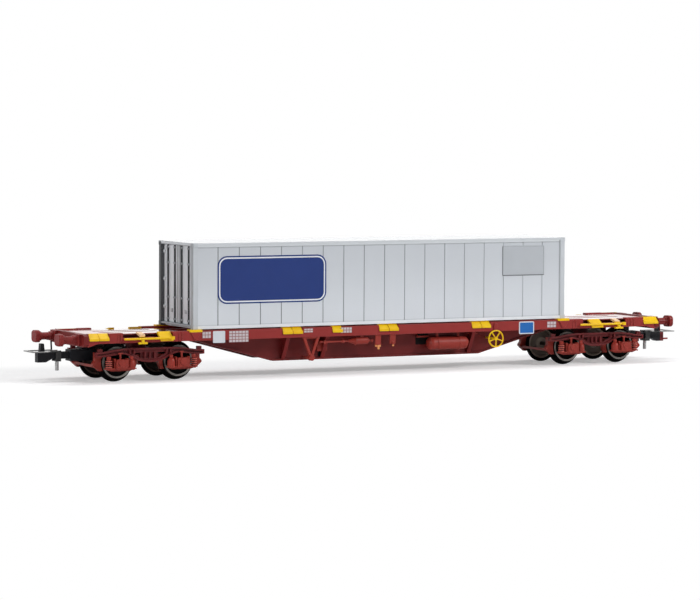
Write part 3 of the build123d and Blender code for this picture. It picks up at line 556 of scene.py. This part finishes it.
def shaded_post(finish, tone):
    """Painted shade: the door end is darker than the sides, and its far post, in painted shadow, the darkest
    """
    tone = finish.mix(finish.short_of(finish.x, door_end, crisp) * door_end_shade_share, tone, door_end_shade_grey)
    left = finish.short_of(finish.x, far_post_end, crisp)
    below = finish.short_of(finish.z, far_post_top, crisp)
    here = finish.between(finish.y, *far_post, fine) * left * below
    return finish.mix(here * far_post_shadow_share, tone, far_post_shadow_grey)


# A dark line along the joint of the door leaves, and painted shade on the near leaf: a wide dark band before
# it and a paler band between them
leaf_joint = (0.95 * MM, 1.45 * MM)
leaf_joint_grey = (0.06, 0.065, 0.07)
leaf_pale_shade_band = (-0.5 * MM, 0.8 * MM)
leaf_shade_band = (-1.7 * MM, -0.5 * MM)
leaf_shade_grey = (0.09, 0.095, 0.10)
leaf_dark_share = 0.8
leaf_pale_shade_share = 0.5


def leaf_joint_and_shade(finish, tone):
    joint = finish.between(finish.y, *leaf_joint, crisp)
    tone = finish.mix(joint * leaf_dark_share, tone, leaf_joint_grey)
    # Painted shade across the near leaf, paler by the joint and darker before it
    pale_shade = finish.between(finish.y, *leaf_pale_shade_band, gentle)
    tone = finish.mix(pale_shade * leaf_pale_shade_share, tone, line_grey)
    shade_band = finish.between(finish.y, *leaf_shade_band, gentle)
    return finish.mix(shade_band * leaf_dark_share, tone, leaf_shade_grey)


# Locking rods by their distances from the middle, and what lies outside their half width is a bracket
rods = (2.75 * MM, 8.25 * MM)
rod_half = 0.33 * MM
bracket_grey = (0.46, 0.48, 0.50)


def pale_brackets(finish, tone):
    """The brackets that hold the locking rods are paler than the rods"""
    side = abs(finish.y)
    away = finish.maths("MINIMUM", abs(side - rods[0]), abs(side - rods[1]))
    return finish.mix(finish.beyond(away, rod_half, fine), tone, bracket_grey)


# Roof: its white starts this far below its top, and its panels meet at lines of this half width
roof_white_depth = 0.115 * MM
roof_white_soft = 0.035 * MM
roof_panels = 8
roof_joint_half = 0.16 * MM
roof_joint_share = 0.6
roof_white = (0.80, 0.82, 0.84)
roof_joint_grey = (0.30, 0.31, 0.32)
roof_side_grey = (0.62, 0.65, 0.68)
roof_gloss = 0.4
roof_grain_dulling = 0.1
roof_polish = 0.28
roof_sheen = 0.6


def roof_finish():
    """White top that shows its panel joints, with grey side edges"""
    low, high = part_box("container_roof")
    finish = Finish("roof_white")
    grain = finish.noise("roof_grain")
    top = finish.beyond(finish.z, high.z - roof_white_depth, roof_white_soft)
    pitch = (high.x - low.x) / roof_panels
    joint = finish.lines(finish.x, low.x, pitch, roof_joint_half, lined)
    white = finish.mix(joint * roof_joint_share, roof_white, roof_joint_grey)
    tone = finish.mix(top, roof_side_grey, white)
    rough = roof_gloss + grain * roof_grain_dulling - top * roof_polish
    return finish.surface(tone, rough, sheen=roof_sheen)


# How much the edges of rails, posts and doors pale from wear and painted highlight
rail_wear_and_highlight_share = 0.8
post_wear_and_highlight_share = 0.3
door_wear_and_highlight_share = 0.4


def paint_container():
    paint(side_finish(), "container_side_")
    paint(moulded_plastic("rail_silver", "rail", wear_and_highlight_share=rail_wear_and_highlight_share), "container_floor")
    post = moulded_plastic("post_silver", "post", wear_and_highlight_share=post_wear_and_highlight_share, tinted=shaded_post)
    paint(post, "container_frame_", "container_end_wall")
    paint(moulded_plastic("door_grey", "door", wear_and_highlight_share=door_wear_and_highlight_share, tinted=leaf_joint_and_shade), "container_door_")
    paint(moulded_plastic("bar_grey", "bar", tinted=pale_brackets), "door_bars")
    paint(roof_finish(), "container_roof")


# A direction runs along an axis when its share on that axis is above this
along_axis = 0.9
rod_sides = 12


def facing_near(normal, centre):
    return normal.y < -along_axis


def running_across(along, middle):
    return abs(along.y) > along_axis


def start_box(name, low, high):
    """A box between two corners, alone selected and in edit mode"""
    bpy.ops.object.select_all(action="DESELECT")
    middle = (Vector(low) + Vector(high)) / 2
    bpy.ops.mesh.primitive_cube_add(size=1.0, location=middle)
    piece = bpy.context.object
    piece.name = name
    bpy.ops.object.mode_set(mode="EDIT")
    bpy.ops.transform.resize(value=Vector(high) - Vector(low), center_override=middle)
    return piece


def start_rod(name, start, end, radius):
    """A rod between two points, alone selected and in edit mode"""
    bpy.ops.object.select_all(action="DESELECT")
    along = end - start
    turn = along.to_track_quat("Z", "Y").to_euler()
    bpy.ops.mesh.primitive_cylinder_add(
        vertices=rod_sides, radius=radius, depth=along.length, location=(start + end) / 2, rotation=turn)
    piece = bpy.context.object
    piece.name = name
    bpy.ops.object.mode_set(mode="EDIT")
    return piece


def select_faces(piece, wanted):
    """Only the faces whose normal and centre pass the test"""
    bpy.ops.mesh.select_mode(type="FACE")
    bpy.ops.mesh.select_all(action="DESELECT")
    mesh = bmesh.from_edit_mesh(piece.data)
    for face in mesh.faces:
        if wanted(face.normal, face.calc_center_median()):
            face.select_set(True)
    bmesh.update_edit_mesh(piece.data)


def select_edges(piece, wanted):
    """Only the edges whose direction and middle pass the test"""
    bpy.ops.mesh.select_mode(type="EDGE")
    bpy.ops.mesh.select_all(action="DESELECT")
    mesh = bmesh.from_edit_mesh(piece.data)
    for edge in mesh.edges:
        first, last = (vertex.co for vertex in edge.verts)
        if wanted((last - first).normalized(), (first + last) / 2):
            edge.select_set(True)
    bmesh.update_edit_mesh(piece.data)


def give(piece, number):
    """The selected faces get the piece's material of that number"""
    piece.active_material_index = number
    bpy.ops.object.material_slot_assign()


def settle(piece, body):
    """Place goes into the mesh, and the piece rides on its body"""
    bpy.ops.object.mode_set(mode="OBJECT")
    bpy.ops.object.transform_apply(location=True, rotation=True, scale=True)
    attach(piece, body)


# Boards are this thick, with a slope of this width around their face
board_thickness = 0.12 * MM
board_lip = 0.04 * MM
corner_segments = 5
board_gloss = 0.38
board_sheen = 0.3
# A board's colour drifts down to this share of it
board_dark_share = 0.9


def board(name, low, high, corner, margins, looks):
    """Thin board on the near side, still in edit mode. Its corners are rounded, wider than its margins.
    Its face is inset by each margin, and the looks alternate"""
    piece = start_box(name, low, high)
    for look in looks:
        piece.data.materials.append(look)
    select_edges(piece, running_across)
    bpy.ops.mesh.bevel(offset=corner, segments=corner_segments, affect="EDGES")
    select_faces(piece, facing_near)
    for number, margin in enumerate(margins, start=1):
        bpy.ops.mesh.inset(thickness=margin, depth=0.0)
        give(piece, number % len(looks))
    bpy.ops.mesh.inset(thickness=board_lip, depth=-board_lip)
    return piece


def board_corners(skin, left, right, low, high):
    """Both corners of a board on a skin, from its ends and heights in millimetres"""
    start = Vector((left * MM, skin - board_thickness, low * MM))
    end = Vector((right * MM, skin, high * MM))
    return start, end


def board_finish(name, colour, rough=board_gloss):
    finish = Finish(name)
    dark = [channel * board_dark_share for channel in colour]
    tone = finish.mix(finish.noise("board_drift"), colour, dark)
    return finish.surface(tone, rough, sheen=board_sheen)


# The sill's skin lies this far behind its outermost face
sill_skin_depth = 0.4 * MM
# Blank boards of the sill in millimetres: name, both ends, both heights, rows and columns of cells
blank_boards = (
    ("left_board", -66.8, -63.7, 13.5, 15.7, 2, 3),
    ("table_board", -57.3, -50.3, 11.9, 15.7, 4, 6),
    ("middle_board", -30.2, -26.9, 14.3, 15.7, 2, 3),
    ("cylinder_board", -16.6, -12.5, 13.8, 15.7, 2, 4),
    ("right_board", 62.6, 66.2, 13.4, 15.5, 2, 3),
)
blank_corner = 0.15 * MM
cell_tone = (0.60, 0.54, 0.56)
rule_half = 0.11 * MM
rule_share = 0.8
ruled_gloss = 0.4
# Plain boards of the sill in millimetres: both ends and both heights
white_place = (-63.0, -58.7, 11.9, 15.75)
white_corner = 0.3 * MM
white_tone = (0.74, 0.78, 0.82)
blue_place = (51.5, 57.4, 11.5, 15.75)
blue_corner = 0.45 * MM
blue_margin = 0.35 * MM
blue_tone = (0.016, 0.15, 0.50)


def ruled_finish(name, low, high, rows, columns):
    """Pale cells between red rules, with nothing written in them"""
    finish = Finish(name + "_paint")
    wide = (high.x - low.x) / columns
    tall = (high.z - low.z) / rows
    rule = finish.most(
        finish.lines(finish.x, low.x, wide, rule_half, crisp),
        finish.lines(finish.z, low.z, tall, rule_half, crisp),
    )
    tone = finish.mix(rule * rule_share, cell_tone, paints["oxide"][0])
    return finish.surface(tone, ruled_gloss, sheen=board_sheen)


def add_sill_boards():
    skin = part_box("sill_near")[0].y + sill_skin_depth
    for name, left, right, low, high, rows, columns in blank_boards:
        start, end = board_corners(skin, left, right, low, high)
        look = ruled_finish(name, start, end, rows, columns)
        settle(board(name, start, end, blank_corner, (), (look,)), "frame")
    white = board_finish("board_white", white_tone)
    blue = board_finish("board_blue", blue_tone)
    start, end = board_corners(skin, *white_place)
    settle(board("white_board", start, end, white_corner, (), (white,)), "frame")
    start, end = board_corners(skin, *blue_place)
    settle(board("blue_board", start, end, blue_corner, (blue_margin,), (white, blue)), "frame")


# Boards of the container's side in millimetres: both ends and both heights
navy_place = (-61.0, -21.7, 24.4, 39.9)
navy_corner = 3.2 * MM
navy_margins = (0.45 * MM, 0.45 * MM)
navy_tone = (0.016, 0.043, 0.21)
navy_gloss = 0.3
navy_line_tone = (0.84, 0.86, 0.90)
plate_place = (45.2, 61.7, 31.4, 41.65)
plate_corner = 0.4 * MM
plate_margin = 0.3 * MM
plate_tone = (0.52, 0.55, 0.585)
# The plate's left and lower edges carry a painted shadow in this tone
plate_shadow_tone = (0.20, 0.21, 0.22)


def add_side_boards():
    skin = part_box("container_side_near")[0].y + skin_depth
    navy = board_finish("panel_navy", navy_tone, rough=navy_gloss)
    white = board_finish("panel_white", navy_line_tone)
    start, end = board_corners(skin, *navy_place)
    settle(board("navy_panel", start, end, navy_corner, navy_margins, (navy, white)), "container")
    grey = board_finish("plate_grey", plate_tone)
    # The plate's painted shadow along its left and lower edges
    edge = board_finish("plate_painted_shadow", plate_shadow_tone)
    start, end = board_corners(skin, *plate_place)
    plate = board("data_plate", start, end, plate_corner, (plate_margin,), (grey, edge))
    settle(plate, "container")
    shade_plate(plate, start.x + plate_margin, start.z + plate_margin)


def shade_plate(plate, left, lower):
    """The plate's face is grey, with a painted shadow along its edge on the left and below"""

    def in_shadow_edge(normal, centre):
        return facing_near(normal, centre) and (centre.x < left or centre.z < lower)

    bpy.ops.object.mode_set(mode="EDIT")
    select_faces(plate, facing_near)
    give(plate, 0)
    select_faces(plate, in_shadow_edge)
    give(plate, 1)
    bpy.ops.object.mode_set(mode="OBJECT")


def copied(piece, name, step):
    """A copy with its own mesh, moved by the step"""
    copy = piece.copy()
    copy.data = piece.data.copy()
    copy.name = name
    bpy.context.scene.collection.objects.link(copy)
    bpy.ops.object.select_all(action="DESELECT")
    copy.select_set(True)
    bpy.context.view_layer.objects.active = copy
    copy.location = step
    bpy.ops.object.transform_apply(location=True, rotation=True, scale=True)
    return copy


# Door hinges: how far from the middle, their heights and their size across the corners
hinge_place = 11.35 * MM
hinge_heights = (22.6 * MM, 31.7 * MM, 40.8 * MM)
hinge_size = 1.5 * MM
hinge_thickness = 0.35 * MM
hinge_rim = 0.15 * MM
hinge_rise = 0.1 * MM


def add_hinges():
    """Diamond plates on the outer edges of the doors"""
    pale = moulded_plastic("hinge_grey", "hinge")
    door_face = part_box("container_door_near")[0].x
    half = hinge_size / 2 / math.sqrt(2)
    low = Vector((door_face - hinge_thickness, -half, -half))
    high = Vector((door_face, half, half))
    hinge = start_box("door_hinge", low, high)
    bpy.ops.transform.rotate(value=math.pi / 4, orient_axis="X", center_override=(low + high) / 2)
    select_faces(hinge, lambda normal, centre: normal.x < -along_axis)
    bpy.ops.mesh.inset(thickness=hinge_rim, depth=hinge_rise)
    hinge.data.materials.append(pale)
    bpy.ops.object.mode_set(mode="OBJECT")
    bpy.ops.object.transform_apply(location=True, rotation=True, scale=True)
    hinges = []
    for side, across in (("near", -1), ("far", 1)):
        for row, height in enumerate(hinge_heights, start=1):
            step = (0.0, across * hinge_place, height)
            hinges.append(copied(hinge, "door_hinge_%s_%d" % (side, row), step))
    for piece in hinges:
        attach(piece, "container")
    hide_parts("door_hinges")
    bpy.data.objects.remove(hinge)


# Small blocks of the near side in millimetres: name, body, both ends, both places across and both heights
small_blocks = (
    ("wheel_bracket", "frame", 41.6, 42.9, -14.75, -14.3, 13.1, 15.4),
    ("beam_opening_shade", "frame", 14.9, 19.6, -7.9, -7.82, 8.6, 12.3),
    ("link_opening_shade", "frame", -21.9, -19.4, -7.9, -7.82, 5.9, 7.3),
    ("brake_box", "frame", -22.9, -19.3, -9.6, -7.84, 7.7, 10.8),
)
block_bevel = 0.12 * MM
block_segments = 2
block_rim = 0.08 * MM
# The two openings are thin dark sheets on the beam's web, painted as the shade inside an opening
opening_shade_tone = (0.006, 0.002, 0.002)
opening_gloss = 0.7
# Thin rods in millimetres: name, body, radius and both ends
thin_rods = (
    ("corner_rod", "frame", 0.28, (-108.5, 12.4, 12.9), (-108.5, 12.0, 9.4)),
    ("tank_pipe", "frame", 0.3, (14.6, -9.4, 11.4), (19.2, -9.4, 11.4)),
    ("tank_pipe_foot", "frame", 0.26, (14.8, -9.4, 11.6), (14.8, -7.8, 12.6)),
    ("brake_link", "frame", 0.22, (33.6, -9.6, 12.0), (38.0, -9.6, 12.0)),
    ("hook_rod", "coupler_right", 0.3, (116.6, 0.0, 7.1), (120.9, 0.0, 7.1)),
)
rod_rim_share = 0.3
rod_smooth_angle = math.radians(40)


def look_of(node):
    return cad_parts[node].data.materials[0]


def add_small_blocks():
    # The openings are dark sheets of painted shade
    dark = board_finish("opening_painted_shade", opening_shade_tone, rough=opening_gloss)
    looks = {"wheel_bracket": look_of("sill_near"), "brake_box": look_of("brake_cylinder")}
    for name, body, left, right, front, back, low, high in small_blocks:
        block = start_box(name, Vector((left, front, low)) * MM, Vector((right, back, high)) * MM)
        select_edges(block, running_across)
        bpy.ops.mesh.bevel(offset=block_bevel, segments=block_segments, affect="EDGES")
        select_faces(block, facing_near)
        bpy.ops.mesh.inset(thickness=block_rim, depth=0.0)
        block.data.materials.append(looks.get(name, dark))
        settle(block, body)


def add_thin_rods():
    bright = look_of("brake_cylinder")
    looks = {"corner_rod": look_of("coupler_left"), "hook_rod": look_of("sill_near")}
    for name, body, radius, start, end in thin_rods:
        rod = start_rod(name, Vector(start) * MM, Vector(end) * MM, radius * MM)
        select_faces(rod, lambda normal, centre: abs(normal.z) > along_axis)
        bpy.ops.mesh.inset(thickness=radius * MM * rod_rim_share, depth=0.0)
        rod.data.materials.append(looks.get(name, bright))
        settle(rod, body)
        bpy.ops.object.shade_smooth_by_angle(angle=rod_smooth_angle)


# The floor is lit only near the wagon, plain white beyond that, and clear when seen from below
floor_size = 12.0
lit_half_length = 0.15
lit_half_width = 0.07
lit_fade = 0.03
floor_tone = (0.82, 0.82, 0.83)
floor_glow = 0.34
pure_white = (1.0, 1.0, 1.0)


def add_stage():
    bpy.ops.object.select_all(action="DESELECT")
    bpy.ops.mesh.primitive_plane_add(size=floor_size, location=(0.0, 0.0, 0.0))
    floor = bpy.context.object
    floor.name = "floor"
    finish = Finish("pale_floor")
    lit = finish.node("ShaderNodeBsdfDiffuse", inputs={"Color": rgba(floor_tone)})
    glow = finish.node("ShaderNodeEmission", inputs={"Color": rgba(pure_white), "Strength": floor_glow})
    near = finish.node("ShaderNodeAddShader", inputs={0: lit, 1: glow})
    plain = finish.node("ShaderNodeEmission", inputs={"Color": rgba(pure_white), "Strength": 1.0})
    along = finish.rise(abs(finish.x), lit_half_length - lit_fade, lit_half_length)
    across = finish.rise(abs(finish.y), lit_half_width - lit_fade, lit_half_width)
    paper = finish.node("ShaderNodeMixShader", inputs={0: finish.most(along, across), 1: near, 2: plain})
    path = finish.node("ShaderNodeLightPath", output="Is Camera Ray")
    seen = finish.node("ShaderNodeMixShader", inputs={0: path, 1: lit, 2: paper})
    below = finish.node("ShaderNodeNewGeometry", output="Backfacing")
    clear = finish.node("ShaderNodeBsdfTransparent")
    either = finish.node("ShaderNodeMixShader", inputs={0: below, 1: seen, 2: clear})
    floor.data.materials.append(finish.shown(either))


# Brightness of the room: what lights the wagon, what gloss mirrors behind it and towards the viewer
room_light = 0.15
backdrop = 1.1
room_dark = 0.12
# The mirrored room brightens between these shares of the way to the far side
backdrop_start = -0.1
backdrop_end = 0.5


def add_world():
    world = bpy.data.worlds.new("studio")
    bpy.context.scene.world = world
    world.use_nodes = True
    tree = world.node_tree
    tree.nodes.clear()

    def mapped(value, settings):
        """Map Range node from a socket, with numbers or sockets as its settings"""
        made = tree.nodes.new("ShaderNodeMapRange")
        tree.links.new(value, made.inputs["Value"])
        for key, number in settings.items():
            if hasattr(number, "is_linked"):
                tree.links.new(number, made.inputs[key])
            else:
                made.inputs[key].default_value = number
        return made.outputs["Result"]

    path = tree.nodes.new("ShaderNodeLightPath")
    place = tree.nodes.new("ShaderNodeTexCoord")
    split = tree.nodes.new("ShaderNodeSeparateXYZ")
    tree.links.new(place.outputs["Generated"], split.inputs[0])
    mirrored = mapped(split.outputs["Y"], {
        "From Min": backdrop_start,
        "From Max": backdrop_end,
        "To Min": room_dark,
        "To Max": backdrop,
    })
    other = mapped(path.outputs["Is Glossy Ray"], {"To Min": room_light, "To Max": mirrored})
    strength = mapped(path.outputs["Is Camera Ray"], {"To Min": other, "To Max": 1.0})
    sky = tree.nodes.new("ShaderNodeBackground")
    sky.inputs["Color"].default_value = rgba(pure_white)
    tree.links.new(strength, sky.inputs["Strength"])
    end = tree.nodes.new("ShaderNodeOutputWorld")
    tree.links.new(sky.outputs["Background"], end.inputs["Surface"])


# Softboxes: name, place, what they point at, width and height in metres, and watts
softboxes = (
    ("top_softbox", (0.0, 0.1, 0.85), (0.0, 0.0, 0.02), 0.9, 0.4, 3.6),
    ("key_softbox", (0.75, -0.75, 0.6), (0.05, 0.0, 0.02), 0.35, 0.3, 7.7),
    ("low_softbox", (0.3, -1.2, 0.16), (0.02, 0.0, 0.03), 0.8, 0.25, 0.4),
    ("left_softbox", (-1.2, -0.3, 0.35), (0.0, 0.0, 0.03), 0.4, 0.4, 4.9),
)


def add_lights():
    for name, place, aim, wide, high, power in softboxes:
        data = bpy.data.lights.new(name, "AREA")
        data.shape = "RECTANGLE"
        data.size = wide
        data.size_y = high
        data.energy = power
        lamp = bpy.data.objects.new(name, data)
        lamp.location = place
        lamp.rotation_mode = "QUATERNION"
        lamp.rotation_quaternion = (Vector(aim) - Vector(place)).to_track_quat("-Z", "Y")
        bpy.context.scene.collection.objects.link(lamp)


bpy.context.scene.view_settings.view_transform = "Standard"
add_camera()
add_stage()
add_world()
add_lights()
paint_underframe()
paint_couplers()
paint_wheels()
paint_container()
add_sill_boards()
add_side_boards()
add_hinges()
add_small_blocks()
add_thin_rods()

bpy.context.view_layer.update()
